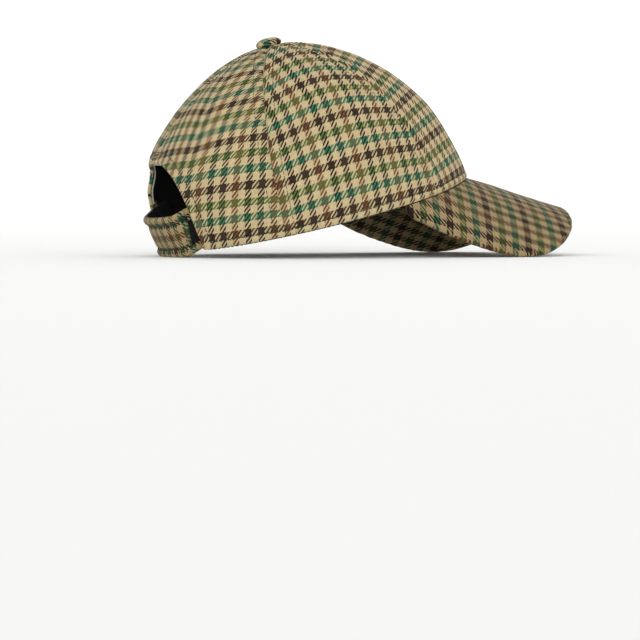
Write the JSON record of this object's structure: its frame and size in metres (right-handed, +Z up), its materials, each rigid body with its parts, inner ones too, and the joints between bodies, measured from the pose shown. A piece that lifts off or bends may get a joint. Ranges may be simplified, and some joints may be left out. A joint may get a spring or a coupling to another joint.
{
  "type": "tweed baseball cap",
  "caption": "Soft checked tweed cap with a domed panelled crown, a covered button on top, a curved visor, and a strap across a half-round gap at the back.",
  "frame": {"origin": "centre of the cap's footprint box, on the floor it rests on", "axes": "+X towards the visor, the wearer's front; +Y to the wearer's left; +Z up"},
  "size_m": [0.2646, 0.1624, 0.1325],
  "materials": {
    "tweed": "wool twill in a checked pattern, matt",
    "binding_tape": "woven cotton tape, matt"
  },
  "bodies": {
    "root": {"panel_front_left": "tweed", "panel_front_right": "tweed", "panel_side_left": "tweed", "panel_side_right": "tweed", "panel_back_left": "tweed", "panel_back_right": "tweed", "button": "tweed", "visor": "tweed", "strap": "tweed", "arch_binding": "binding_tape"}
  },
  "joints": []
}
